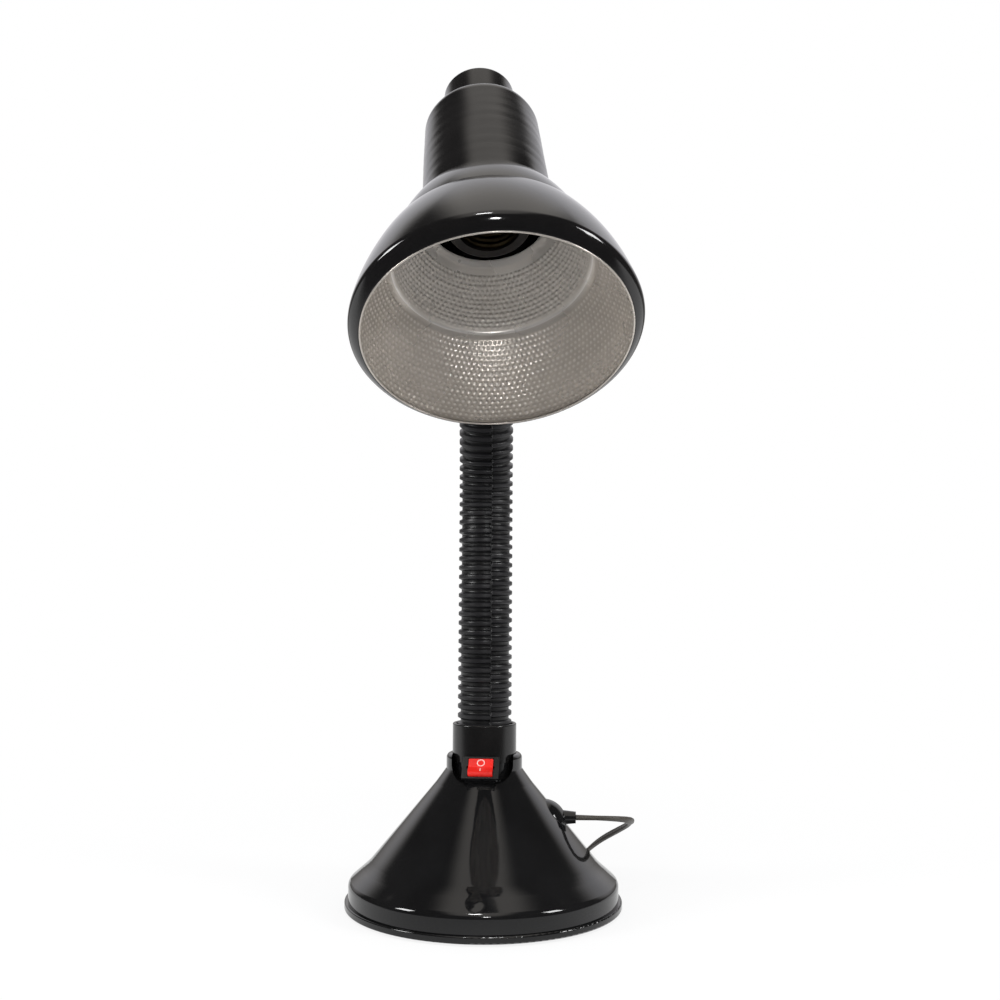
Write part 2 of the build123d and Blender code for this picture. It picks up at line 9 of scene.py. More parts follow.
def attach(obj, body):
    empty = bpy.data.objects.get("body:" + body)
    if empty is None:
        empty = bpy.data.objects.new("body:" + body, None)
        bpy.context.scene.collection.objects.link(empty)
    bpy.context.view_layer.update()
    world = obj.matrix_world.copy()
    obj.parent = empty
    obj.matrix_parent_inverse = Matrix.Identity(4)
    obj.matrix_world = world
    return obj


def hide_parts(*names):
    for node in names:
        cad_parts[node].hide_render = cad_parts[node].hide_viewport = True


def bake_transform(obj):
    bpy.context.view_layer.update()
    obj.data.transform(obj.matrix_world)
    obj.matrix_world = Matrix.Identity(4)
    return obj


# Gooseneck reading lamp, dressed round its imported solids. Metres, +Z up, front towards -Y.
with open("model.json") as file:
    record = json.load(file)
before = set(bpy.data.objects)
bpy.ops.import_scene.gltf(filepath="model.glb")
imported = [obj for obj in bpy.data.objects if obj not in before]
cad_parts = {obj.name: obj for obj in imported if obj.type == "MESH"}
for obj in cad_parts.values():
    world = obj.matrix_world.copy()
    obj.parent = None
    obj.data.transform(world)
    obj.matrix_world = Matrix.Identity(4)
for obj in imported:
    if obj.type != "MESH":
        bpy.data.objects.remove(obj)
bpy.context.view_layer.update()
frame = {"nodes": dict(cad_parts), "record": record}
nodes = frame["nodes"]
record = frame["record"]
joints = {joint["name"]: joint for joint in record["behaviour"]["joints"]}
mounts = {mount["name"]: mount for mount in record["mounts"]}

# Neck: centre line and ribbed sleeve
NECK_TURN = math.radians(4.4)
NECK_FOOT = 0.077
NECK_LEN = 0.2679
STRAIGHT_LEN = 0.119
LOW_BEND_R = 0.105
LOW_BEND = math.radians(22.7)
HIGH_BEND_R = 0.070
NECK_LEAN = math.radians(58.2)
NECK_END_LEN = 0.008
LINK_LEN = 0.0282
LINK_COUNT = 9
RIB_PITCH = 0.0047
RIB_CREST_R = 0.01375
RIB_VALLEY_R = 0.0123
RIB_CREST_HALF_SHARE = 0.17
RIB_FOOT_HALF_SHARE = 0.37
SLEEVE_BORE_R = 0.0108
SLEEVE_END_GAP = 0.0003
SEAM_ANGLE = math.radians(13.5)
SEAM_HALF = math.radians(1.6)
SEAM_RISE = 0.00012
SEAM_SHIFT_SHARE = 0.31
ROWS_PER_RIB = 14
ROWS_PER_BORE_ROW = 8
BORE_ROWS_LEAST = 4
SLEEVE_STEPS_ROUND = 120
SEAM_STEPS = 9
NECK_LINE_STEPS = 5001

# Head: stations along its axis from the mouth, as (radius, station)
THREAD_MIDDLE = 0.0805
MOUTH = (0.0565, 0.0)
LIP = (0.0588, 0.0019)
BULGE = (0.0609, 0.005)
DOME_MID = (0.0534, 0.030)
DOME_END = (0.0469, 0.0431)
LEDGE = (0.0442, 0.0446)
SHOULDER_MID = (0.0387, 0.060)
SHOULDER_END = (0.0319, 0.0717)
STACK_FOOT = (0.0292, 0.0737)
STACK_TOP = (0.0267, 0.128)
CROWN_MID = (0.0244, 0.1343)
CROWN = (0.0175, 0.137)
EDGE_ROUND = 0.0010
CROWN_HOLE_R = 0.00505
SHADE_WALL = 0.0009
LINER_INSET = 0.00125
LINER_WALL = 0.0007
LINER_LOW = 0.0006
LINER_HIGH = 0.074
LINER_MIDDLE = 0.0215
LINER_SPLIT = 0.0420
LINER_RIM_R = 0.0557
LINER_RIM_ROUND = 0.0004
HEAD_STEPS_ROUND = 256
SHADE_FINENESS = 8
SHADE_BACK_FINENESS = 3
LINER_FINENESS = 24
LINER_BACK_FINENESS = 2
LINER_RIM_STEPS = 16
CORNER_STEPS = 9

# Unevenness of the shade, each row as (share, waves round, waves along, phase)
SHADE_DENT = 0.00007
SHADE_DENT_WAVES = ((1.0, 3, 40, 0.0), (0.7, 5, -95, 1.1), (0.5, 8, 160, 2.3))
STACK_RIPPLE = 0.00004
STACK_RIPPLE_LEN = 0.0068
STACK_RIPPLE_LOW = 0.004
STACK_RIPPLE_EASE_LOW = 0.008
STACK_RIPPLE_EASE_HIGH = 0.006
RIPPLE_DRIFTS = ((0.6, 2, 0, 0.4), (0.3, 5, 0, 0.0))
RIPPLE_BREAK_ROUND = (1.0, 3, 110, 0.0)
RIPPLE_BREAK_ALONG = (1.0, 4, -170, 0.8)

# Hammered dots of the reflector
BOWL_DOTS_ROUND = 136
THROAT_DOTS_ROUND = 98
DOT_ROW = 0.0023
DOT_R = 0.00095
DOT_HEIGHT = 0.00034
DOT_STEPS = 6
DOT_EASE_SHARE = 0.75
DOT_UNEVENNESS = 0.13
DOT_MIX_ROUND = 12.99
DOT_MIX_ROWS = 78.23
BOWL_PLAIN_LOW = 0.0030
BOWL_PLAIN_HIGH = 0.0010
THROAT_PLAIN_LOW = 0.0020
THROAT_PLAIN_HIGH = 0.0060

# Lampholder thread
THREAD_R = 0.0132
THREAD_WALL = 0.0012
THREAD_LOW = 0.067
THREAD_HIGH = 0.094
THREAD_PITCH = 0.0036
THREAD_DEPTH = 0.0007
THREAD_STEPS = 96
THREAD_BACK_SKIP = 12

# Sink marks on the base
SINK_R = 0.0635
SINK_Z = 0.0173
SINK_ANGLES = (-39.0, 1.5, 40.5)
SINK_REACH = 0.0055
SINK_DEPTH = 0.0003

# Switch rocker and its marks
SWITCH_SLOPE = math.radians(45.0)
ROCKER_TILT = math.radians(12.0)
ROCKER_W = 0.0122
ROCKER_R = 0.0052
ROCKER_TIP = math.radians(25.0)
ROCKER_VALLEY = 0.0009
ROCKER_EDGE = 0.0005
MARK_RISE = 0.00006
RING_MARK_R = 0.00175
RING_MARK_HALF = 0.00027
BAR_MARK_HALF_LEN = 0.00105
BAR_MARK_HALF_W = 0.0003
MARK_PLACE_SHARE = 0.52
MARK_SIDE_SHARE = 0.4
MARK_TOP_SHARE = 0.8
RING_MARK_STEPS = 48
MARK_SECTION_STEPS = 12
BAR_MARK_STEPS = 9
ROCKER_BACK_STEPS = 40
ROCKER_FACE_STEPS = 16
ROCKER_EDGE_STEPS = 6

# Cord: the lead, the coil behind the base and the tail, then the plug
CORD_W = 0.0042
CORE_R = 0.0012
CORE_SPREAD = 0.0009
LEAD_POINTS = [
    (0.04674, 0.0, 0.045),
    (0.0660, 0.0, 0.045),
    (0.0770, 0.016, 0.041),
    (0.0710, 0.039, 0.0325),
    (0.0600, 0.056, 0.023),
    (0.0520, 0.072, 0.013),
    (0.0484, 0.085, 0.0055),
    (0.0469, 0.097, 0.0016),
    (0.0469, 0.1078, 0.0016),
]
LEAD_TWIST = math.radians(45.0)
LEAD_LEN = 0.140
COIL_CENTRE = (0.010, 0.112)
COIL_LOW = 0.0016
COIL_LAYER = 0.0029
COIL_OUT_R = 0.0369
COIL_PITCH = 0.0047
COIL_TURNS_IN = 5.0
COIL_TURNS_OUT = 5.25
COIL_STEPS = 24
COIL_CLIMB_TURNS = 0.5
TAIL_POINTS = [
    (0.0058, 0.150075, 0.0045),
    (-0.0470, 0.150075, 0.0060),
    (-0.0470, 0.1200, 0.0069),
]
CORD_SPLINE_ORDER = 3
CORD_SPLINE_STEPS = 4
CORD_STEPS_ROUND = 32
TIE_ANGLE = math.radians(215.0)
TIE_HALF_W = 0.003
TIE_T = 0.0005
TIE_LIFT = 0.0031
TIE_HALF_H = 0.0030
TIE_POWER = 0.35
TIE_STEPS = 96
TIE_SECTION_STEPS = 12
PLUG_LEN = 0.030
PLUG_HALF_W = 0.014
PLUG_HALF_H = 0.0068
BOOT_LEN = 0.009
BOOT_R = 0.0036
BOOT_ROOT_R = 0.0056
BOOT_RIBS = 7
BOOT_RIB_DEPTH = 0.0004
BOOT_RIB_END_SHARE = 0.95
BOOT_STEPS = 28
PLUG_STEPS = 40
PLUG_STEPS_ROUND = 64
PLUG_EASE_SHARE = 0.30
PLUG_END_SHARE = 0.08
PLUG_END_TAPER = 0.10
PLUG_POWER_FALL = 0.45

# Finishes as (colour, colour of its patches, roughness, roughness of its patches, patch scale,
# grain scale, grain depth)
FINISHES = {
    "shade_enamel": ((0.0045, 0.0043, 0.0045), (0.0066, 0.0062, 0.0064), 0.06, 0.10, 26.0, 420.0, 0.000012),
    "ribbed_vinyl": ((0.0085, 0.0082, 0.0095), (0.0125, 0.0121, 0.0135), 0.34, 0.44, 60.0, 1500.0, 0.000018),
    "hammered_metal": ((0.66, 0.615, 0.56), (0.56, 0.515, 0.465), 0.25, 0.31, 35.0, 1800.0, 0.000010),
    # Painted light: a paler copy of hammered_metal for the reflector's throat, standing in for the light the
    # throat catches
    "painted_lit_throat": ((0.88, 0.85, 0.81), (0.78, 0.745, 0.70), 0.25, 0.31, 35.0, 1800.0, 0.000010),
    "polished_black": ((0.0045, 0.0045, 0.0048), (0.0070, 0.0070, 0.0074), 0.05, 0.09, 30.0, 700.0, 0.000006),
    "switch_grain": ((0.0050, 0.0050, 0.0055), (0.0080, 0.0080, 0.0085), 0.26, 0.36, 80.0, 2600.0, 0.00003),
    "rocker_red": ((0.76, 0.020, 0.014), (0.66, 0.016, 0.011), 0.22, 0.32, 150.0, 1400.0, 0.000008),
    "mark_white": ((0.86, 0.52, 0.48), (0.78, 0.44, 0.40), 0.45, 0.55, 400.0, 3000.0, 0.000005),
    "satin_black": ((0.0048, 0.0045, 0.0045), (0.0070, 0.0066, 0.0066), 0.16, 0.22, 55.0, 1100.0, 0.000012),
    # Aged brass made darker still: painted shade of the deep lampholder socket
    "aged_brass_painted_shade": ((0.11, 0.088, 0.052), (0.075, 0.058, 0.034), 0.42, 0.55, 120.0, 1500.0, 0.00001),
    "zinc_plate": ((0.60, 0.60, 0.61), (0.48, 0.48, 0.50), 0.28, 0.42, 140.0, 1300.0, 0.00001),
    "grey_iron": ((0.13, 0.125, 0.12), (0.20, 0.18, 0.165), 0.62, 0.78, 45.0, 700.0, 0.00012),
    "pressed_felt": ((0.018, 0.019, 0.019), (0.034, 0.035, 0.034), 0.90, 0.98, 300.0, 2200.0, 0.0002),
    "dark_phenolic": ((0.008, 0.007, 0.0065), (0.013, 0.011, 0.010), 0.34, 0.48, 90.0, 900.0, 0.00002),
    "cord_vinyl": ((0.040, 0.035, 0.028), (0.054, 0.048, 0.039), 0.40, 0.52, 70.0, 1200.0, 0.000015),
    "nickel_pin": ((0.68, 0.66, 0.62), (0.58, 0.56, 0.52), 0.18, 0.30, 160.0, 1600.0, 0.000006),
}
METALLIC = {
    "hammered_metal": 0.65, "painted_lit_throat": 0.65, "aged_brass_painted_shade": 1.0, "zinc_plate": 1.0, "grey_iron": 1.0,
    "nickel_pin": 1.0,
}
PATCH_RANGE = (0.38, 0.68)
PATCH_DETAIL = 4.0
GRAIN_DETAIL = 2.0
# Painted shade in the valleys between the neck sleeve's ribs
PAINTED_VALLEY_SHADE = (0.0035, 0.0035, 0.0040, 1)
# Painted highlight on the reflector's raised dots
PAINTED_DOT_HIGHLIGHT = (0.84, 0.80, 0.75, 1)
SPUN_LINE_SCALE = 420.0
SPUN_LINE_DETAIL = 3.0
SPUN_LINE_DEPTH = 0.00003
SPUN_LINE_LEAST = 0.10
STACK_DULL_REACH = 0.012
STACK_DULLNESS = 0.13

# Studio light as gloss sees it: ramps over the parts of its direction
BEHIND_Y = (0.36, 0.72)
BEHIND_LIFT_Z = (-0.05, 0.45, 0.24, 1.0)
CEILING_Z = (0.30, 0.80)
CEILING_ASIDE = (0.18, 0.50)
CEILING_LIGHT = 0.95
FRONT_LIGHT = 0.06
WARM_WHITE = (1.0, 0.95, 0.89, 1)
COOL_WHITE = (0.97, 0.96, 1.0, 1)

# Studio light elsewhere, and the floor
FILL_COLOUR = (0.98, 0.98, 1.0, 1)
FILL_LIGHT = 0.75
FLOOR_R = 4
FLOOR_STEPS = 96
FLOOR_PAINT = (0.86, 0.86, 0.86, 1)
FLOOR_WHITE_AWAY = (0.08, 0.45, 0.84, 1.0)
FLOOR_GLOSS_Y = (-0.27, 0.02, FRONT_LIGHT, 0.9)

# Softboxes as (place, aim, width, height, power)
SOFTBOXES = {
    "box_front": ((0.12, -0.95, 0.37), (0.0, -0.10, 0.25), 0.07, 0.055, 1.1),
    "box_high": ((-0.05, -0.75, 1.05), (0.0, -0.10, 0.25), 0.16, 0.10, 2.6),
    "box_left": ((-0.95, -0.45, 0.55), (0.0, -0.05, 0.20), 0.26, 0.34, 5.0),
    "box_right": ((0.95, -0.40, 0.60), (0.0, -0.05, 0.20), 0.26, 0.34, 5.0),
}

# Camera of the photograph
LENS = 43.2
SENSOR = 36.0
CAMERA_AT = (0.05483, -0.61880, 0.16369)
CAMERA_PITCH = 0.0684
CAMERA_ROLL = 0.0061


def unit(vectors):
    """Vectors divided by their lengths."""
    return vectors / np.linalg.norm(vectors, axis=-1, keepdims=True)


def smooth(share):
    """3x^2 - 2x^3 of a share held between 0 and 1."""
    share = np.clip(share, 0, 1)
    return share * share * (3 - 2 * share)


def whole_turn(count):
    """Angles of one turn in equal steps, without the last that repeats the first."""
    return np.linspace(0, 2 * math.pi, count, endpoint=False)


def squared(wave, power):
    """A sine or cosine drawn out towards square corners: its sign times its size to a power."""
    return np.sign(wave) * np.abs(wave) ** power


def run_lengths(line):
    """Distance along a line of points, at each of them."""
    return np.concatenate([[0], np.cumsum(np.linalg.norm(np.diff(line, axis=0), axis=1))])


def linked(name, data):
    """A new object in the scene."""
    made = bpy.data.objects.new(name, data)
    bpy.context.scene.collection.objects.link(made)
    return made


def stand(item, axes, place):
    """Puts an object at a place, turned to three axes."""
    matrix = Matrix(np.stack(axes, -1).tolist()).to_4x4()
    matrix.translation = place
    item.matrix_world = matrix


def grid_piece(name, points, body=None, closed_rows=True, caps=False, sharp=40.0):
    """Quads between neighbouring points of a (rows, columns) grid whose columns close on themselves.
    The rows close too, or end in two flat caps, or stay open."""
    rows, columns = points.shape[:2]
    index = np.arange(rows * columns).reshape(rows, columns)
    upper = np.roll(index, -1, axis=0) if closed_rows else index[1:]
    lower = index if closed_rows else index[:-1]
    quads = np.stack([lower, np.roll(lower, -1, 1), np.roll(upper, -1, 1), upper], -1).reshape(-1, 4)
    faces = quads.tolist()
    if caps:
        faces += [index[0][::-1].tolist(), index[-1].tolist()]
    mesh = bpy.data.meshes.new(name)
    mesh.from_pydata(points.reshape(-1, 3).tolist(), [], faces)
    mesh.polygons.foreach_set("use_smooth", np.ones(len(faces), bool))
    mesh.set_sharp_from_angle(angle=math.radians(sharp))
    mesh.update()
    piece = linked(name, mesh)
    if body:
        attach(piece, body)
    return piece


def point_value(piece, name, values):
    """Stores one number for each point of a piece."""
    attribute = piece.data.attributes.new(name, "FLOAT", "POINT")
    attribute.data.foreach_set("value", np.asarray(values, np.float32).ravel())


# The neck's line
SIDE = np.array([math.cos(NECK_TURN), math.sin(NECK_TURN), 0.0])
AHEAD = np.array([math.sin(NECK_TURN), -math.cos(NECK_TURN), 0.0])
UPWARD = np.array([0.0, 0.0, 1.0])
HIGH_BEND = NECK_LEAN - LOW_BEND
low_bend_len = LOW_BEND_R * LOW_BEND
high_bend_len = HIGH_BEND_R * HIGH_BEND
middle_len = NECK_LEN - STRAIGHT_LEN - low_bend_len - high_bend_len - NECK_END_LEN
LEAN_KNOTS = np.cumsum([0, STRAIGHT_LEN, low_bend_len, middle_len, high_bend_len, NECK_END_LEN])
LEANS = np.array([0, 0, LOW_BEND, LOW_BEND, NECK_LEAN, NECK_LEAN])
LINE_STEPS = np.linspace(0, NECK_LEN, NECK_LINE_STEPS)


def neck_line(distance):
    """Points, tangents and front axes of the neck: the lean is linear between knots, and the
    way forward and up are the running sums of its sine and cosine."""
    lean = np.interp(LINE_STEPS, LEAN_KNOTS, LEANS)
    middle_lean = (lean[1:] + lean[:-1]) / 2
    step = LINE_STEPS[1]
    forward = np.concatenate([[0], np.cumsum(np.sin(middle_lean)) * step])
    height = np.concatenate([[0], np.cumsum(np.cos(middle_lean)) * step]) + NECK_FOOT
    here = np.interp(distance, LINE_STEPS, lean)[..., None]
    points = np.interp(distance, LINE_STEPS, forward)[..., None] * AHEAD
    points = points + np.interp(distance, LINE_STEPS, height)[..., None] * UPWARD
    tangents = np.sin(here) * AHEAD + np.cos(here) * UPWARD
    fronts = np.cos(here) * AHEAD - np.sin(here) * UPWARD
    return points, tangents, fronts


def rib_height(distance, shift):
    """0 in a valley and 1 on a crest: a flat crest with eased flanks, repeating every pitch."""
    phase = np.abs((distance / RIB_PITCH - shift + 0.5) % 1.0 - 0.5)
    flank = RIB_FOOT_HALF_SHARE - RIB_CREST_HALF_SHARE
    return smooth((RIB_FOOT_HALF_SHARE - phase) / flank)


def sleeve_angles():
    """Angles round the sleeve from the front, closer together beside both mould seams."""
    even = np.arange(0, 2 * math.pi, 2 * math.pi / SLEEVE_STEPS_ROUND)
    beside = np.linspace(-2 * SEAM_HALF, 2 * SEAM_HALF, SEAM_STEPS)
    both = np.concatenate([even, SEAM_ANGLE + beside, SEAM_ANGLE + math.pi + beside]) % (2 * math.pi)
    return np.unique(both.round(6))


def sleeve_piece(number, low, high):
    """Ribbed tube on the neck's line: radius = valley + rib height, where the ribs right of the seam
    stand a share of a pitch higher, plus a fine ridge along each seam; the bore closes it inside."""
    count = max(2, round((high - low) / RIB_PITCH * ROWS_PER_RIB))
    angle = sleeve_angles()[None, :]
    outward = np.linspace(low, high, count)[:, None]
    from_seam = (angle - SEAM_ANGLE + math.pi) % (2 * math.pi) - math.pi
    from_back_seam = np.pi - np.abs(from_seam)
    right = smooth((from_seam + SEAM_HALF) / (2 * SEAM_HALF))
    right = right * smooth((np.where(from_seam > 0, from_back_seam, np.pi) + SEAM_HALF) / (2 * SEAM_HALF))
    left_back = smooth((SEAM_HALF - np.where(from_seam < 0, from_back_seam, np.pi)) / (2 * SEAM_HALF))
    right = np.maximum(right, left_back)
    height = (1 - right) * rib_height(outward, 0) + right * rib_height(outward, SEAM_SHIFT_SHARE)
    ridge = np.exp(-((np.minimum(np.abs(from_seam), from_back_seam) / SEAM_HALF) ** 2))
    radius = RIB_VALLEY_R + (RIB_CREST_R - RIB_VALLEY_R) * height + SEAM_RISE * ridge * (1 - height)
    inner = np.linspace(high, low, max(BORE_ROWS_LEAST, count // ROWS_PER_BORE_ROW))[:, None]
    distance = np.concatenate([outward, inner]) + 0 * angle
    radius = np.concatenate([radius, SLEEVE_BORE_R + 0 * inner + 0 * angle])
    centre, tangent, front = neck_line(distance)
    around = np.sin(angle)[..., None] * SIDE + np.cos(angle)[..., None] * front
    piece = grid_piece(f"neck_ribs_{number}", centre + radius[..., None] * around)
    # The rib height, which the sleeve's finish turns into painted shade in the valleys
    point_value(piece, "rib", np.concatenate([height, 0 * inner + 0 * angle]))
    return piece


def neck_sleeve():
    """Eight lengths of one sleeve, cut on shared crests, each reaching across one joint."""
    cut_shift = SEAM_SHIFT_SHARE / 2 * RIB_PITCH
    cuts = [SLEEVE_END_GAP]
    cuts += [LINK_LEN * (i + 1.5) + cut_shift for i in range(LINK_COUNT - 2)]
    cuts += [NECK_LEN - SLEEVE_END_GAP]
    made = []
    for i in range(LINK_COUNT - 1):
        piece = sleeve_piece(i + 1, cuts[i], cuts[i + 1])
        replaced = [f"neck_sleeve_{i + 1}"] + ([f"neck_sleeve_{LINK_COUNT}"] if i == LINK_COUNT - 2 else [])
        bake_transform(piece)
        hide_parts(*replaced)
        made.append(piece)
    return made


# The head's own axes: Z from the mouth to the cap, Y towards the neck
thread_axis = np.array(mounts["lamp_thread"]["axis"])
HEAD_Z = -unit(thread_axis)
HEAD_ORIGIN = np.array(mounts["lamp_thread"]["pos_m"]) - THREAD_MIDDLE * HEAD_Z
neck_end_tangent = neck_line(np.array([NECK_LEN]))[1][0]
HEAD_Y = unit(-neck_end_tangent + np.dot(neck_end_tangent, HEAD_Z) * HEAD_Z)
HEAD_X = np.cross(HEAD_Y, HEAD_Z)
HEAD_AXES = np.stack([HEAD_X, HEAD_Y, HEAD_Z])


def in_head(local):
    """Points of the head's own axes, in the row frame."""
    return HEAD_ORIGIN + local @ HEAD_AXES


def arc(start, through, end, count):
    """Points on the circle through three points, from the first to the last."""
    a, b, c = (np.array(point, float) for point in (start, through, end))
    ab, ac = b - a, c - a
    twice = 2 * (ab[0] * ac[1] - ab[1] * ac[0])
    offset = np.array([ac[1] * ab @ ab - ab[1] * ac @ ac, ab[0] * ac @ ac - ac[0] * ab @ ab]) / twice
    centre = a + offset
    first, last = (math.atan2(spoke[1], spoke[0]) for spoke in (a - centre, c - centre))
    turn = math.copysign(2 * math.pi, twice)
    sweep = (last - first) % turn
    angles = first + np.linspace(0, 1, count) * sweep
    return centre + np.linalg.norm(offset) * np.stack([np.cos(angles), np.sin(angles)], -1)


def rounded_runs(runs):
    """Runs of points joined end to end: near each shared corner the points give way to the quadratic
    curve that has the corner as its control point."""
    share = np.linspace(0, 1, CORNER_STEPS)[1:-1, None]
    joined = runs[0]
    for run in runs[1:]:
        corner = run[0]
        before = joined[np.linalg.norm(joined - corner, axis=1) > EDGE_ROUND]
        after = run[np.linalg.norm(run - corner, axis=1) > EDGE_ROUND]
        bend = (1 - share) ** 2 * before[-1] + 2 * share * (1 - share) * corner + share**2 * after[0]
        joined = np.concatenate([before, bend, after])
    return joined


def bell_profile(inset, fine):
    """The shade's outline moved in by an inset, from the mouth to the crown: arcs for the lip, dome,
    shoulder and crown with straight runs between them, and rounded corners."""
    move = np.array([-inset, 0.0])
    sink = np.array([-inset, -inset])
    mouth, lip, bulge = (np.array(point) + move for point in (MOUTH, LIP, BULGE))
    dome_mid, shoulder_mid = (np.array(point) + move for point in (DOME_MID, SHOULDER_MID))
    dome_end, ledge = (np.array(point) + sink for point in (DOME_END, LEDGE))
    shoulder_end, foot, top = (np.array(point) + move for point in (SHOULDER_END, STACK_FOOT, STACK_TOP))
    crown_mid = np.array(CROWN_MID) + np.array([-inset, -inset / 2])
    crown = np.array(CROWN) + np.array([0.0, -inset])
    return rounded_runs([
        arc(mouth, lip, bulge, 3 * fine),
        arc(bulge, dome_mid, dome_end, 12 * fine),
        np.linspace(dome_end, ledge, 3 + fine),
        arc(ledge, shoulder_mid, shoulder_end, 6 * fine),
        np.linspace(shoulder_end, foot, 3 + fine),
        np.linspace(foot, top, 8 * fine),
        arc(top, crown_mid, crown, 5 * fine),
    ])


def round_head(radius, angle, station):
    """Points (radius cos, radius sin, station) of the head's own axes, in the row frame."""
    return in_head(np.stack([radius * np.cos(angle), radius * np.sin(angle), station + 0 * angle], -1))


def turned(profile, swell=None):
    """Each (radius, station) of a profile carried round the head's axis."""
    angle = whole_turn(HEAD_STEPS_ROUND)[None, :]
    radius = profile[:, :1] + (0 if swell is None else swell(angle, profile[:, 1:]))
    return round_head(radius, angle, profile[:, 1:])


def wave(row, angle, station):
    """share * sin(round * angle + along * station + phase)."""
    share, turns, along, phase = row
    return share * np.sin(turns * angle + along * station + phase)


def shade_swell(angle, station):
    """Shallow unevenness of thin pressed metal: a few low waves round and along the head, and on the
    stack broken ripples across it, a sine of the station whose phase and height drift with the angle."""
    dents = sum(wave(row, angle, station) for row in SHADE_DENT_WAVES)
    drift = sum(wave(row, angle, station) for row in RIPPLE_DRIFTS)
    ripple = np.sin(2 * math.pi * station / STACK_RIPPLE_LEN + drift)
    breaks = wave(RIPPLE_BREAK_ROUND, angle, station) * wave(RIPPLE_BREAK_ALONG, angle, station)
    above_foot = smooth((station - STACK_FOOT[1] - STACK_RIPPLE_LOW) / STACK_RIPPLE_EASE_LOW)
    stack = above_foot * smooth((STACK_TOP[1] - station) / STACK_RIPPLE_EASE_HIGH)
    ripple = STACK_RIPPLE * ripple * (1 + breaks) / 2 * stack
    return SHADE_DENT * dents * smooth(station / BULGE[1]) + ripple


def bell_shade():
    """Thin wall between the outline and its inset, closed at the lip and round the crown's hole."""
    outside = bell_profile(0, SHADE_FINENESS)
    inside = bell_profile(SHADE_WALL, SHADE_BACK_FINENESS)[::-1]
    hole = np.array([[CROWN_HOLE_R, CROWN[1]], [CROWN_HOLE_R, CROWN[1] - SHADE_WALL]])
    profile = np.concatenate([outside, hole, inside])
    piece = grid_piece("bell_shade", turned(profile, shade_swell), "head", sharp=32.0)
    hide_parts("shade")
    return piece


def liner_wall(name, low, high, dots_round, plain_low, plain_high):
    """Closed wall between two stations of the liner. Raised dots stand on its inner face: height times
    the eased fall from a dot's middle to its edge, in rows staggered by half a dot, with a plain band
    at both ends."""
    line = bell_profile(LINER_INSET + LINER_WALL, LINER_FINENESS)
    lengths = run_lengths(line)
    begin, end = np.interp([low, high], line[:, 1], lengths)
    rows = round((end - begin) / DOT_ROW)
    along = np.linspace(0, end - begin, rows * DOT_STEPS + 1)
    inner = np.stack([np.interp(begin + along, lengths, line[:, k]) for k in (0, 1)], -1)
    slope = unit(np.gradient(inner, axis=0))
    inward = np.stack([-slope[:, 1], slope[:, 0]], -1)
    angle = whole_turn(dots_round * DOT_STEPS)[None, :]
    row = along[:, None] / along[-1] * rows
    place = angle / (2 * math.pi) * dots_round + 0.5 * (np.floor(row) % 2)
    across = (place % 1.0 - 0.5) * 2 * math.pi * inner[:, :1] / dots_round
    down = (row % 1.0 - 0.5) * along[-1] / rows
    mixed = DOT_MIX_ROUND * (np.floor(place) % dots_round) + DOT_MIX_ROWS * np.floor(row)
    reach = DOT_R * (1 + DOT_UNEVENNESS * np.sin(mixed))
    dot = smooth((reach - np.hypot(across, down)) / (DOT_EASE_SHARE * DOT_R))
    plain = smooth((along - plain_low) / DOT_ROW) * smooth((along[-1] - plain_high - along) / DOT_ROW)
    dot = dot * plain[:, None]
    face = inner[:, None, :] + DOT_HEIGHT * dot[..., None] * inward[:, None, :]
    back = bell_profile(LINER_INSET, LINER_BACK_FINENESS)
    back = back[(back[:, 1] >= low) & (back[:, 1] <= high)][::-2]
    back = np.repeat(back[:, None, :], angle.shape[1], axis=1)
    wall = np.concatenate([face, back])[::-1]
    piece = grid_piece(name, round_head(wall[..., 0], angle, wall[..., 1]), "head", sharp=55.0)
    # The dot height, which the liner's finish turns into a painted highlight on each dot
    point_value(piece, "dot", np.concatenate([dot, np.zeros(back.shape[:2])])[::-1])
    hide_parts("reflector")
    return piece


def liner_rim():
    """Rolled edge of the liner at the mouth: a ring of round section."""
    turn = whole_turn(LINER_RIM_STEPS)
    section = np.stack([LINER_RIM_R + LINER_RIM_ROUND * np.cos(turn), LINER_RIM_ROUND * np.sin(turn)], -1)
    piece = grid_piece("reflector_rim", turned(section), "head")
    point_value(piece, "dot", np.zeros(LINER_RIM_STEPS * HEAD_STEPS_ROUND))
    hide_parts("reflector")
    return piece


def hammered_reflector():
    """The liner in three walls, two for the bowl and one for the throat above its step, and the rim."""
    walls = (
        ("reflector_bowl", LINER_LOW, LINER_MIDDLE, BOWL_DOTS_ROUND, BOWL_PLAIN_LOW, -DOT_ROW),
        ("reflector_bowl_upper", LINER_MIDDLE, LINER_SPLIT, BOWL_DOTS_ROUND, -DOT_ROW, BOWL_PLAIN_HIGH),
        ("reflector_throat", LINER_SPLIT, LINER_HIGH, THROAT_DOTS_ROUND, THROAT_PLAIN_LOW, THROAT_PLAIN_HIGH),
    )
    return [liner_wall(*wall) for wall in walls] + [liner_rim()]


def threaded_shell():
    """Tube whose inner radius rises and falls along a helix: one wave for each pitch and each turn."""
    station = np.linspace(THREAD_LOW, THREAD_HIGH, THREAD_STEPS)[:, None]
    angle = whole_turn(THREAD_STEPS)[None, :]
    wave = 0.5 - 0.5 * np.cos(2 * math.pi * station / THREAD_PITCH - angle)
    inner = THREAD_R + THREAD_DEPTH * wave
    outer_station = station[::-THREAD_BACK_SKIP]
    outer = THREAD_R + THREAD_WALL + 0 * outer_station + 0 * angle
    radius = np.concatenate([inner, outer])
    points = round_head(radius, angle, np.concatenate([station, outer_station]))
    piece = grid_piece("threaded_shell", points[::-1], "head")
    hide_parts("screw_shell")
    return piece


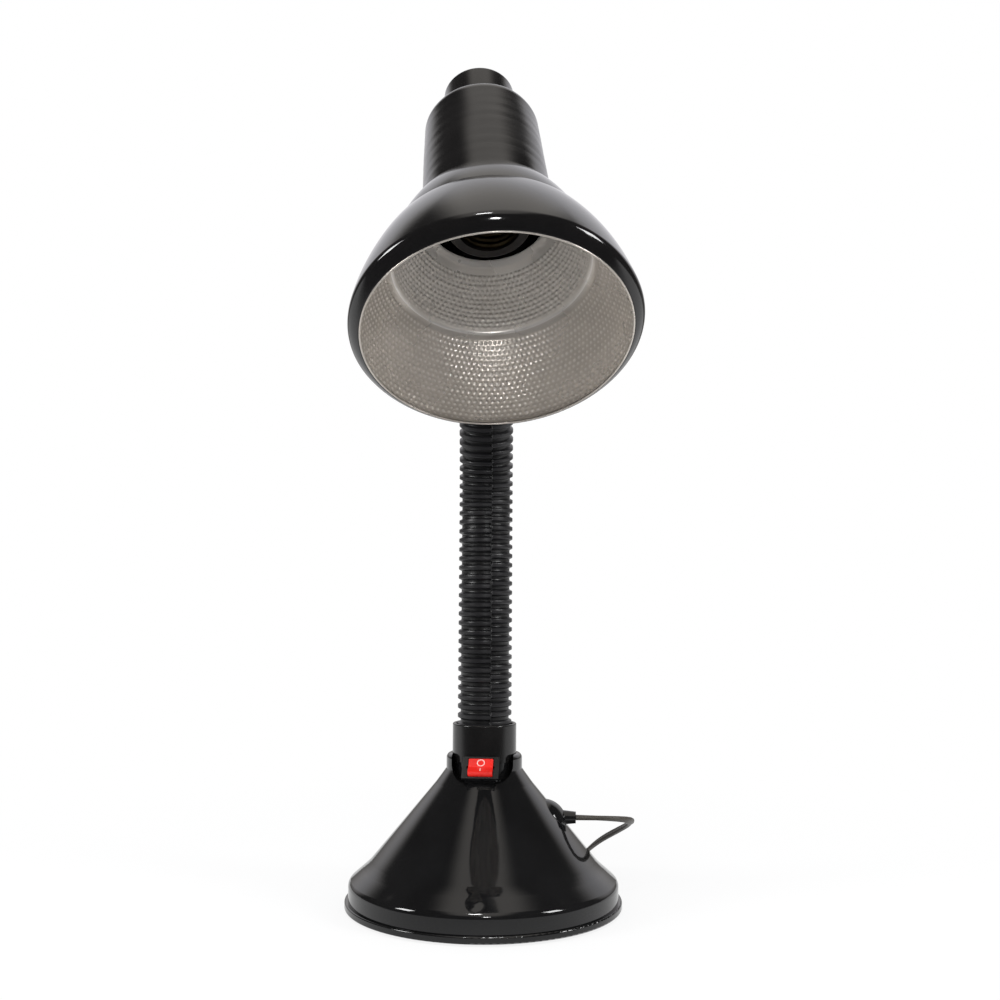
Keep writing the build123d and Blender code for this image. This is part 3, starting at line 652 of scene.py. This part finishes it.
# Rocker, in axes at its pivot: X across, Y up the slope, Z out of the switch
ROCKER_LEAN = SWITCH_SLOPE - ROCKER_TILT
ROCKER_AXES = np.array([
    [1.0, 0.0, 0.0],
    [0.0, math.cos(ROCKER_LEAN), math.sin(ROCKER_LEAN)],
    [0.0, -math.sin(ROCKER_LEAN), math.cos(ROCKER_LEAN)],
])
ROCKER_PIVOT = np.array(joints["switch_rock"]["pos_m"])
TIP_Y = ROCKER_R * math.cos(ROCKER_TIP)
TIP_Z = ROCKER_R * math.sin(ROCKER_TIP)
FACE_SLOPE = math.atan2(TIP_Z - ROCKER_VALLEY, TIP_Y)


def in_rocker(local):
    """Points of the rocker's own axes, in the row frame."""
    return ROCKER_PIVOT + local @ ROCKER_AXES


def rocker_key():
    """The key's outline, a round back and a shallow V face, carried across its width; the outline
    shrinks towards both ends by the rounding's quarter circle."""
    back = arc((-TIP_Y, TIP_Z), (0, -ROCKER_R), (TIP_Y, TIP_Z), ROCKER_BACK_STEPS)
    face = np.concatenate([
        np.linspace((TIP_Y, TIP_Z), (0, ROCKER_VALLEY), ROCKER_FACE_STEPS)[1:],
        np.linspace((0, ROCKER_VALLEY), (-TIP_Y, TIP_Z), ROCKER_FACE_STEPS)[1:-1],
    ])
    outline = np.concatenate([back, face])
    turn = np.linspace(0, math.pi / 2, ROCKER_EDGE_STEPS)
    across = ROCKER_W / 2 - ROCKER_EDGE * (1 - np.sin(turn))
    shrink = 1 - ROCKER_EDGE / ROCKER_R * (1 - np.cos(turn))
    across = np.concatenate([-across[::-1], across])
    shrink = np.concatenate([shrink[::-1], shrink])
    loops = outline[None, :, :] * shrink[:, None, None]
    points = np.concatenate([np.repeat(across[:, None, None], len(outline), 1), loops], -1)
    piece = grid_piece("rocker_key", in_rocker(points), "rocker", closed_rows=False, caps=True, sharp=28.0)
    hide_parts("switch_rocker")
    return piece


def on_rocker_face(across, along, lift, side):
    """Points on one half of the V face: across, along from the valley, and lifted off it."""
    y = along * math.cos(FACE_SLOPE) - lift * math.sin(FACE_SLOPE)
    z = ROCKER_VALLEY + along * math.sin(FACE_SLOPE) + lift * math.cos(FACE_SLOPE)
    return in_rocker(np.stack([across, side * y, z], -1))


def rocker_marks():
    """A ring on the upper half and a bar on the lower half: low raised strokes of round section."""
    middle = TIP_Y / math.cos(FACE_SLOPE) * MARK_PLACE_SHARE
    turn = whole_turn(RING_MARK_STEPS)[:, None]
    section = whole_turn(MARK_SECTION_STEPS)[None, :]
    reach = RING_MARK_R + RING_MARK_HALF * np.cos(section)
    ring = on_rocker_face(reach * np.cos(turn), middle + reach * np.sin(turn), MARK_RISE * np.sin(section), 1)
    ring = grid_piece("mark_ring", ring[::-1], "rocker")
    end = np.linspace(0, math.pi, BAR_MARK_STEPS)
    cap = np.stack([BAR_MARK_HALF_W * np.cos(end), BAR_MARK_HALF_LEN + BAR_MARK_HALF_W * np.sin(end)], -1)
    outline = np.concatenate([cap, -cap])
    layers = np.array([[1.0, -MARK_RISE], [1.0, MARK_RISE * MARK_SIDE_SHARE], [MARK_TOP_SHARE, MARK_RISE]])
    across = outline[None, :, 0] * layers[:, :1]
    along = middle + outline[None, :, 1] * layers[:, :1]
    bar = on_rocker_face(across, along, layers[:, 1:] + 0 * across, -1)
    bar = grid_piece("mark_bar", bar[:, ::-1], "rocker", closed_rows=False, caps=True)
    return ring, bar


# Cord
def coil_points():
    """The coil's turns: the radius falls by a pitch each turn and rises again after the turn back,
    and the height climbs one layer in the half turn round the turn back."""
    count = round(COIL_STEPS * (COIL_TURNS_IN + COIL_TURNS_OUT))
    turns = np.arange(1, count + 1) / COIL_STEPS
    inward = np.minimum(turns, COIL_TURNS_IN) - np.maximum(0, turns - COIL_TURNS_IN)
    radius = COIL_OUT_R - COIL_PITCH * inward
    height = COIL_LOW + COIL_LAYER * smooth((turns - COIL_TURNS_IN) / COIL_CLIMB_TURNS + 0.5)
    angle = 2 * math.pi * turns
    x = COIL_CENTRE[0] + radius * np.cos(angle)
    y = COIL_CENTRE[1] + radius * np.sin(angle)
    return np.stack([x, y, height], -1)


def spline_line(route):
    """Points along the NURBS spline that has the route as its control points."""
    curve = bpy.data.curves.new("cord_line", "CURVE")
    curve.dimensions = "3D"
    spline = curve.splines.new("NURBS")
    spline.points.add(len(route) - 1)
    spline.points.foreach_set("co", np.concatenate([route, np.ones((len(route), 1))], 1).ravel())
    spline.order_u = CORD_SPLINE_ORDER
    spline.use_endpoint_u = True
    curve.resolution_u = CORD_SPLINE_STEPS
    holder = bpy.data.objects.new("cord_line", curve)
    mesh = bpy.data.meshes.new_from_object(holder)
    points = np.empty(len(mesh.vertices) * 3)
    mesh.vertices.foreach_get("co", points)
    bpy.data.objects.remove(holder)
    bpy.data.curves.remove(curve)
    bpy.data.meshes.remove(mesh)
    return points.reshape(-1, 3)


def twin_cord():
    """Flat twin cord: the outline of two round cores side by side, carried along the route with its
    width level, and turned on edge and back along the free lead."""
    line = spline_line(np.concatenate([LEAD_POINTS, coil_points(), TAIL_POINTS]))
    lengths = run_lengths(line)
    tangent = unit(np.gradient(line, axis=0))
    level = unit(np.cross(tangent, UPWARD))
    above = np.cross(level, tangent)
    twist = (LEAD_TWIST * np.sin(math.pi * np.clip(lengths / LEAD_LEN, 0, 1)))[:, None]
    wide = np.cos(twist) * level + np.sin(twist) * above
    thick = np.cos(twist) * above - np.sin(twist) * level
    turn = whole_turn(CORD_STEPS_ROUND)
    x = (CORE_SPREAD + CORE_R) * np.cos(turn)
    y = np.sign(np.sin(turn)) * np.sqrt(np.maximum(CORE_R**2 - (np.abs(x) - CORE_SPREAD) ** 2, 0))
    skin = line[:, None, :] + x[None, :, None] * wide[:, None, :] + y[None, :, None] * thick[:, None, :]
    piece = grid_piece("twin_cord", skin[:, ::-1], "base", closed_rows=False, caps=True, sharp=70.0)
    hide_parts("cord_lead", "cord_coil", "cord_tail")
    return piece, line


def coil_tie():
    """Band round the coil's turns: a rounded loop in the upright plane through the coil's middle,
    widened into a flat strip."""
    coil_in_r = COIL_OUT_R - COIL_PITCH * COIL_TURNS_IN
    half_reach = (COIL_OUT_R - coil_in_r) / 2 + COIL_PITCH / 4 + CORD_W / 2 + TIE_T
    out = np.array([math.cos(TIE_ANGLE), math.sin(TIE_ANGLE), 0.0])
    across = np.array([-math.sin(TIE_ANGLE), math.cos(TIE_ANGLE), 0.0])
    middle = np.array([*COIL_CENTRE, TIE_LIFT]) + out * (COIL_OUT_R + coil_in_r) / 2
    turn = whole_turn(TIE_STEPS)[:, None]
    x = squared(np.cos(turn), TIE_POWER)
    z = squared(np.sin(turn), TIE_POWER)
    section = whole_turn(TIE_SECTION_STEPS)[None, :]
    grow = TIE_T / 2 * np.sin(section)
    side = TIE_HALF_W * squared(np.cos(section), TIE_POWER)
    points = middle + ((half_reach + grow) * x)[..., None] * out
    points = points + ((TIE_HALF_H - TIE_T / 2 + grow) * z)[..., None] * UPWARD
    points = points + (side + 0 * turn)[..., None] * across
    piece = grid_piece("wire_tie", points[:, ::-1], "base", sharp=60.0)
    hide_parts("coil_tie")
    return piece


def plug_shell():
    """Moulded plug along -Y: a superellipse section whose half width, half height and squareness
    ease from the ribbed boot into the flat body, drawn in at both ends."""
    body_along = np.linspace(BOOT_LEN, BOOT_LEN + PLUG_LEN, PLUG_STEPS)
    along = np.concatenate([np.linspace(0, BOOT_LEN, BOOT_STEPS), body_along[1:]])
    boot = along / BOOT_LEN
    body = smooth((along - BOOT_LEN) / (PLUG_EASE_SHARE * PLUG_LEN))
    end_low = BOOT_LEN + (1 - PLUG_END_SHARE) * PLUG_LEN
    end = 1 - PLUG_END_TAPER * smooth((along - end_low) / (PLUG_END_SHARE * PLUG_LEN))
    round_r = BOOT_R + (BOOT_ROOT_R - BOOT_R) * np.clip(boot, 0, 1)
    round_r = round_r - BOOT_RIB_DEPTH * np.sin(math.pi * BOOT_RIBS * boot) ** 2 * (boot < BOOT_RIB_END_SHARE)
    half_w = (round_r + (PLUG_HALF_W - BOOT_ROOT_R) * body) * end
    half_h = (round_r + (PLUG_HALF_H - BOOT_ROOT_R) * body) * end
    power = (1.0 - PLUG_POWER_FALL * body)[:, None]
    turn = whole_turn(PLUG_STEPS_ROUND)[None, :]
    x = half_w[:, None] * squared(np.cos(turn), power)
    z = half_h[:, None] * squared(np.sin(turn), power)
    start = np.array(TAIL_POINTS[-1])
    points = np.stack([start[0] + x, start[1] - along[:, None] + 0 * turn, start[2] + z], -1)
    piece = grid_piece("plug_shell", points, "base", closed_rows=False, caps=True, sharp=50.0)
    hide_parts("plug_body")
    return piece


# Finishes: inputs and outputs of a mix node, and the sockets of the shared surface
MIX_BY = 0
VALUE_A, VALUE_B, VALUE_OUT = 2, 3, 0
COLOUR_A, COLOUR_B, COLOUR_OUT = 6, 7, 2
SURFACE_INPUTS = (
    ("Vector", "NodeSocketVector"), ("Colour", "NodeSocketColor"), ("Patch Colour", "NodeSocketColor"),
    ("Roughness", "NodeSocketFloat"), ("Patch Roughness", "NodeSocketFloat"),
    ("Patch Scale", "NodeSocketFloat"), ("Grain Scale", "NodeSocketFloat"),
)
SURFACE_OUTPUTS = (
    ("Colour", "NodeSocketColor"), ("Roughness", "NodeSocketFloat"), ("Height", "NodeSocketFloat"),
)
Finish = namedtuple("Finish", "material tree inputs place surface bump")


def add_node(tree, kind, links=(), values=(), **settings):
    """A node with its properties set, and its inputs given as (input, value) pairs or linked from
    (input, source socket) pairs."""
    made = tree.nodes.new(kind)
    for name, value in settings.items():
        setattr(made, name, value)
    for target, value in values:
        made.inputs[target].default_value = value
    for target, source in links:
        tree.links.new(source, made.inputs[target])
    return made


def maths(tree, operation, first, second):
    """Result of an operation on two values."""
    return add_node(tree, "ShaderNodeMath", [(0, first), (1, second)], operation=operation).outputs[0]


def ranged(tree, source, low, high, to_low=0.0, to_high=1.0, way="SMOOTHSTEP"):
    """Step of a value from one range to another, eased or linear."""
    span = (("From Min", low), ("From Max", high), ("To Min", to_low), ("To Max", to_high))
    step = add_node(tree, "ShaderNodeMapRange", [("Value", source)], span, interpolation_type=way)
    return step.outputs["Result"]


def mixed_colour(tree, share, links=(), values=()):
    """Colour A towards colour B by a share."""
    mix = add_node(tree, "ShaderNodeMix", [(MIX_BY, share), *links], values, data_type="RGBA")
    return mix.outputs[COLOUR_OUT]


def handled_surface():
    """Group: broad noise patches shift colour and roughness, and a fine noise is the grain's height."""
    group = bpy.data.node_groups.new("handled_surface", "ShaderNodeTree")
    for way, sockets in (("INPUT", SURFACE_INPUTS), ("OUTPUT", SURFACE_OUTPUTS)):
        for name, kind in sockets:
            group.interface.new_socket(name=name, in_out=way, socket_type=kind)
    given = group.nodes.new("NodeGroupInput").outputs
    vector = ("Vector", given["Vector"])
    patches = add_node(
        group, "ShaderNodeTexNoise", [vector, ("Scale", given["Patch Scale"])], [("Detail", PATCH_DETAIL)])
    patch = ranged(group, patches.outputs["Fac"], *PATCH_RANGE, way="LINEAR")
    colour = mixed_colour(group, patch, [(COLOUR_A, given["Colour"]), (COLOUR_B, given["Patch Colour"])])
    rough = add_node(group, "ShaderNodeMix", [
        (MIX_BY, patch), (VALUE_A, given["Roughness"]), (VALUE_B, given["Patch Roughness"])])
    grain = add_node(
        group, "ShaderNodeTexNoise", [vector, ("Scale", given["Grain Scale"])], [("Detail", GRAIN_DETAIL)])
    add_node(group, "NodeGroupOutput", [
        ("Colour", colour), ("Roughness", rough.outputs[VALUE_OUT]), ("Height", grain.outputs["Fac"])])
    return group


HANDLED = handled_surface()


def finish(name):
    """A material on the handled surface group, with the parts that others add to."""
    colour, patch_colour, rough, patch_rough, patch_scale, grain_scale, grain_depth = FINISHES[name]
    material = bpy.data.materials.new(name)
    material.use_nodes = True
    tree = material.node_tree
    inputs = tree.nodes["Principled BSDF"].inputs
    place = add_node(tree, "ShaderNodeTexCoord").outputs["Object"]
    values = (
        ("Colour", (*colour, 1)), ("Patch Colour", (*patch_colour, 1)), ("Roughness", rough),
        ("Patch Roughness", patch_rough), ("Patch Scale", patch_scale), ("Grain Scale", grain_scale),
    )
    surface = add_node(tree, "ShaderNodeGroup", [("Vector", place)], values, node_tree=HANDLED).outputs
    depth = (("Strength", 1.0), ("Distance", grain_depth))
    bump = add_node(tree, "ShaderNodeBump", [("Height", surface["Height"])], depth).outputs["Normal"]
    tree.links.new(surface["Colour"], inputs["Base Color"])
    tree.links.new(surface["Roughness"], inputs["Roughness"])
    tree.links.new(bump, inputs["Normal"])
    inputs["Metallic"].default_value = METALLIC.get(name, 0.0)
    return Finish(material, tree, inputs, place, surface, bump)


def dress(material, *pieces):
    """Puts a material on pieces and CAD nodes."""
    for piece in pieces:
        target = nodes[piece] if isinstance(piece, str) else piece
        if not target.material_slots:
            target.data.materials.append(material)
        for slot in target.material_slots:
            slot.material = material


def lined_enamel():
    """Gloss paint with the faint turning lines of the spun metal under it, duller along the stack."""
    made = finish("shade_enamel")
    tree = made.tree
    turn = add_node(tree, "ShaderNodeMapping", [("Vector", made.place)], [
        ("Rotation", Matrix(HEAD_AXES.tolist()).to_euler()), ("Location", tuple(-HEAD_AXES @ HEAD_ORIGIN))])
    apart = add_node(tree, "ShaderNodeSeparateXYZ", [("Vector", turn.outputs["Vector"])])
    station = apart.outputs["Z"]
    lines = add_node(
        tree, "ShaderNodeTexNoise", [("W", station)],
        [("Scale", SPUN_LINE_SCALE), ("Detail", SPUN_LINE_DETAIL)], noise_dimensions="1D")
    stack_low = STACK_FOOT[1]
    stack = ranged(tree, station, stack_low, stack_low + STACK_DULL_REACH, SPUN_LINE_LEAST, way="LINEAR")
    deep = maths(tree, "MULTIPLY", lines.outputs["Fac"], stack)
    lined = add_node(
        tree, "ShaderNodeBump", [("Height", deep), ("Normal", made.bump)], [("Distance", SPUN_LINE_DEPTH)])
    dull = add_node(
        tree, "ShaderNodeMath", [(0, stack), (2, made.surface["Roughness"])], [(1, STACK_DULLNESS)],
        operation="MULTIPLY_ADD")
    tree.links.new(dull.outputs[0], made.inputs["Roughness"])
    tree.links.new(lined.outputs["Normal"], made.inputs["Normal"])
    return made.material


def painted_light_mix(name, value, own_input, other_input, other_colour):
    """A finish whose colour is mixed with a painted light colour by a value of the points: painted shade in
    the sleeve's valleys, a painted highlight on the liner's dots.
    """
    made = finish(name)
    share = add_node(made.tree, "ShaderNodeAttribute", attribute_name=value).outputs["Fac"]
    own = (own_input, made.surface["Colour"])
    painted_light = mixed_colour(made.tree, share, [own], [(other_input, other_colour)])
    made.tree.links.new(painted_light, made.inputs["Base Color"])
    return made.material


def ribbed_vinyl():
    """Satin charcoal sleeve with painted shade: darker in the valleys between the ribs than on the crests."""
    return painted_light_mix("ribbed_vinyl", "rib", COLOUR_B, COLOUR_A, PAINTED_VALLEY_SHADE)


def hammered_metal(name):
    """Satin aluminium with a painted highlight: a little brighter on each raised dot."""
    return painted_light_mix(name, "dot", COLOUR_A, COLOUR_B, PAINTED_DOT_HIGHLIGHT)


def sunk_plastic():
    """Polished black moulding with three shallow sink marks on the slope above the base's band."""
    made = finish("polished_black")
    tree = made.tree
    height = None
    for degrees in SINK_ANGLES:
        angle = math.radians(degrees)
        spot = (SINK_R * math.sin(angle), -SINK_R * math.cos(angle), SINK_Z)
        away = add_node(tree, "ShaderNodeVectorMath", [(0, made.place)], [(1, spot)], operation="DISTANCE")
        sink = ranged(tree, away.outputs["Value"], 0.0, SINK_REACH)
        height = sink if height is None else maths(tree, "MULTIPLY", height, sink)
    dented = add_node(
        tree, "ShaderNodeBump", [("Height", height), ("Normal", made.bump)], [("Distance", SINK_DEPTH)])
    tree.links.new(dented.outputs["Normal"], made.inputs["Normal"])
    return made.material


def plain(name):
    """A finish that needs only the handled surface."""
    return finish(name).material


# The dressed lamp
cord, cord_line = twin_cord()
tie = coil_tie()
plug = plug_shell()
sleeves = neck_sleeve()
shade = bell_shade()
reflector = hammered_reflector()
thread = threaded_shell()
key = rocker_key()
marks = rocker_marks()
cores = [f"neck_core_{i + 1}" for i in range(LINK_COUNT)]

dress(sunk_plastic(), "base_shell", "bottom_plate", "cord_gland")
dress(plain("satin_black"), "neck_collar", "head_ferrule", "end_cap")
dress(lined_enamel(), shade)
dress(ribbed_vinyl(), *sleeves)
dress(hammered_metal("hammered_metal"), *reflector)
# The throat wears the paler copy of the metal: painted light
dress(hammered_metal("painted_lit_throat"), reflector[2])
dress(plain("switch_grain"), "switch_body", "gland_nut")
dress(plain("rocker_red"), key)
dress(plain("mark_white"), *marks)
# Brass darkened by painted shade of the deep socket, on the thread and the small brass parts
dress(plain("aged_brass_painted_shade"), thread, "centre_contact", "holder_terminals", "switch_terminals")
dress(plain("zinc_plate"), "plate_screws", "neck_nipple", "neck_washer", "neck_lock_nut", "head_nipple",
      "head_lock_nut", "holder_nipple", "holder_lock_nut", *cores)
dress(plain("grey_iron"), "ballast_weight")
dress(plain("pressed_felt"), "felt_pad")
dress(plain("dark_phenolic"), "lampholder_body")
dress(plain("cord_vinyl"), cord, tie, plug)
dress(plain("nickel_pin"), "plug_pins")


# Studio
def seen_factor(tree, *rays):
    """1 for rays from the camera and of the named kinds, with the tree's light path node."""
    path = add_node(tree, "ShaderNodeLightPath")
    seen = path.outputs["Is Camera Ray"]
    for ray in rays:
        seen = maths(tree, "MAXIMUM", seen, path.outputs[ray])
    return path, seen


def white_world():
    """White to the camera and through glass. On gloss it is white behind the lamp, has a pale ceiling
    over it and is dim at the sides and low in front. Everything else gets an even soft fill."""
    world = bpy.data.worlds.new("studio")
    bpy.context.scene.world = world
    world.use_nodes = True
    tree = world.node_tree
    tree.nodes.clear()
    path, seen = seen_factor(tree, "Is Transmission Ray")
    place = add_node(tree, "ShaderNodeTexCoord")
    apart = add_node(tree, "ShaderNodeSeparateXYZ", [("Vector", place.outputs["Generated"])]).outputs
    aside = add_node(tree, "ShaderNodeMath", [(0, apart["X"])], operation="ABSOLUTE").outputs[0]
    lifted = ranged(tree, apart["Z"], *BEHIND_LIFT_Z)
    behind = maths(tree, "MULTIPLY", ranged(tree, apart["Y"], *BEHIND_Y), lifted)
    middle = ranged(tree, aside, *CEILING_ASIDE, CEILING_LIGHT, 0.0)
    ceiling = maths(tree, "MULTIPLY", ranged(tree, apart["Z"], *CEILING_Z), middle)
    bright = maths(tree, "MAXIMUM", behind, ceiling)
    strength = ranged(tree, bright, 0.0, 1.0, FRONT_LIGHT, 1.0)
    tint = mixed_colour(tree, behind, values=[(COLOUR_A, WARM_WHITE), (COLOUR_B, COOL_WHITE)])
    gloss = add_node(tree, "ShaderNodeBackground", [("Color", tint), ("Strength", strength)])
    fill = add_node(tree, "ShaderNodeBackground", values=[("Color", FILL_COLOUR), ("Strength", FILL_LIGHT)])
    view = add_node(tree, "ShaderNodeBackground", values=[("Color", (1, 1, 1, 1)), ("Strength", 1.0)])
    lit = add_node(tree, "ShaderNodeMixShader", [
        (0, path.outputs["Is Glossy Ray"]), (1, fill.outputs[0]), (2, gloss.outputs[0])])
    shown = add_node(tree, "ShaderNodeMixShader", [(0, seen), (1, lit.outputs[0]), (2, view.outputs[0])])
    add_node(tree, "ShaderNodeOutputWorld", [("Surface", shown.outputs[0])])


def pale_floor():
    """Large level disc that shows white, more fully so the further it lies from the lamp, and keeps a
    soft shadow close to it. On gloss it grows dim in front of the lamp."""
    turn = whole_turn(FLOOR_STEPS)
    ring = np.stack([FLOOR_R * np.cos(turn), FLOOR_R * np.sin(turn), 0 * turn], -1)
    mesh = bpy.data.meshes.new("floor")
    mesh.from_pydata(ring.tolist(), [], [list(range(len(turn)))])
    floor = linked("floor", mesh)
    material = bpy.data.materials.new("pale_floor")
    material.use_nodes = True
    tree = material.node_tree
    tree.nodes.clear()
    path, seen = seen_factor(tree, "Is Transmission Ray", "Is Glossy Ray")
    gloss = path.outputs["Is Glossy Ray"]
    place = add_node(tree, "ShaderNodeTexCoord").outputs["Object"]
    away = add_node(tree, "ShaderNodeVectorMath", [(0, place)], operation="LENGTH")
    white = ranged(tree, away.outputs["Value"], *FLOOR_WHITE_AWAY)
    paint = add_node(tree, "ShaderNodeBsdfDiffuse", values=[("Color", FLOOR_PAINT)])
    apart = add_node(tree, "ShaderNodeSeparateXYZ", [("Vector", place)])
    front = ranged(tree, apart.outputs["Y"], *FLOOR_GLOSS_Y)
    level = add_node(tree, "ShaderNodeMix", [(MIX_BY, gloss), (VALUE_B, front)], [(VALUE_A, 1.0)])
    glow = add_node(tree, "ShaderNodeEmission", [("Strength", level.outputs[VALUE_OUT])])
    share = maths(tree, "MULTIPLY", seen, maths(tree, "MAXIMUM", white, gloss))
    both = add_node(tree, "ShaderNodeMixShader", [(0, share), (1, paint.outputs[0]), (2, glow.outputs[0])])
    add_node(tree, "ShaderNodeOutputMaterial", [("Surface", both.outputs[0])])
    floor.data.materials.append(material)


def softbox(name, place, aim, width, height, power):
    """Rectangular area light at a place, facing a point."""
    light = bpy.data.lights.new(name, "AREA")
    light.shape = "RECTANGLE"
    light.size = width
    light.size_y = height
    light.energy = power
    back = unit(np.array(place) - np.array(aim))
    side = unit(np.cross(UPWARD, back))
    stand(linked(name, light), (side, np.cross(back, side), back), place)


def photograph_camera():
    """Camera at the photograph's place: turned with the neck's plane, pitched up and rolled a little."""
    forward = math.sin(CAMERA_PITCH) * UPWARD - math.cos(CAMERA_PITCH) * AHEAD
    above = np.cross(SIDE, forward)
    right = math.cos(CAMERA_ROLL) * SIDE + math.sin(CAMERA_ROLL) * above
    up = math.cos(CAMERA_ROLL) * above - math.sin(CAMERA_ROLL) * SIDE
    data = bpy.data.cameras.new("photograph_camera")
    data.sensor_width = SENSOR
    data.lens = LENS
    camera = linked("photograph_camera", data)
    stand(camera, (right, up, -forward), CAMERA_AT)
    bpy.context.scene.camera = camera


white_world()
pale_floor()
for box_name, box in SOFTBOXES.items():
    softbox(box_name, *box)
photograph_camera()
bpy.context.scene.view_settings.view_transform = "Standard"
